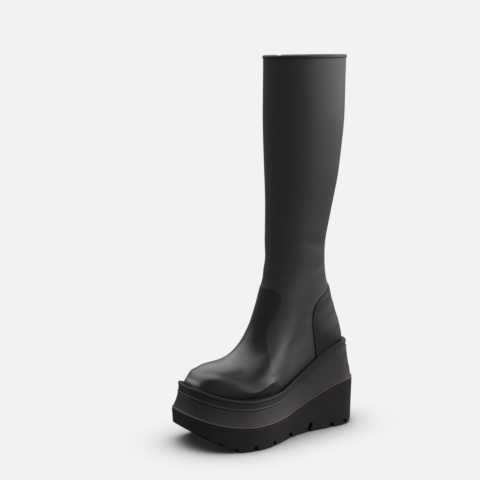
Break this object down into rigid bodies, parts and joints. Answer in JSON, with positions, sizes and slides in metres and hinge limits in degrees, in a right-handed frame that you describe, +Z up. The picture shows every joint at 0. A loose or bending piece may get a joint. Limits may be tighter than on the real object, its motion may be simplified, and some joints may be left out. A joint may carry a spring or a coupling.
{
  "type": "platform boot",
  "caption": "Knee-high platform wedge boot for the left foot, hollow, with a welt, side zip, elastic gore and a lugged sole.",
  "frame": {"origin": "on the floor, under the middle of the boot's box", "axes": "+Z up the shaft, -Y towards the toe, +X towards the outer side of the foot (the zip is on the inner side, -X)"},
  "size_m": [0.1192, 0.2638, 0.5],
  "materials": {
    "tread_rubber": "matte moulded rubber",
    "midsole_foam": "satin moulded foam with a smooth skin",
    "welt_rubber": "satin rubber strip with a rolled lip",
    "insole_fabric": "brushed lining fabric on foam",
    "upper_leather": "smooth semi-matte synthetic leather",
    "counter_leather": "smooth semi-matte synthetic leather",
    "gore_elastic": "puckered elastic panel under thin leather",
    "zip_tape_fabric": "woven tape",
    "zip_coil_nylon": "nylon coil",
    "zip_metal": "black nickel"
  },
  "bodies": {
    "boot": {"outsole": "tread_rubber", "midsole": "midsole_foam", "welt": "welt_rubber", "insole": "insole_fabric", "upper": "upper_leather", "heel_counter": "counter_leather", "elastic_gore": "gore_elastic", "zip_tape": "zip_tape_fabric", "zip_coil": "zip_coil_nylon", "zip_slider": "zip_metal"},
    "zip_pull": {"zip_pull": "zip_metal"}
  },
  "joints": [
    {"name": "zip_pull_swing", "type": "hinge", "parent": "boot", "child": "zip_pull", "pos_m": [-0.05718, 0.0454, 0.48291], "axis": [-0.1684, 0.9857, 0], "range_deg": [0, 165]}
  ]
}
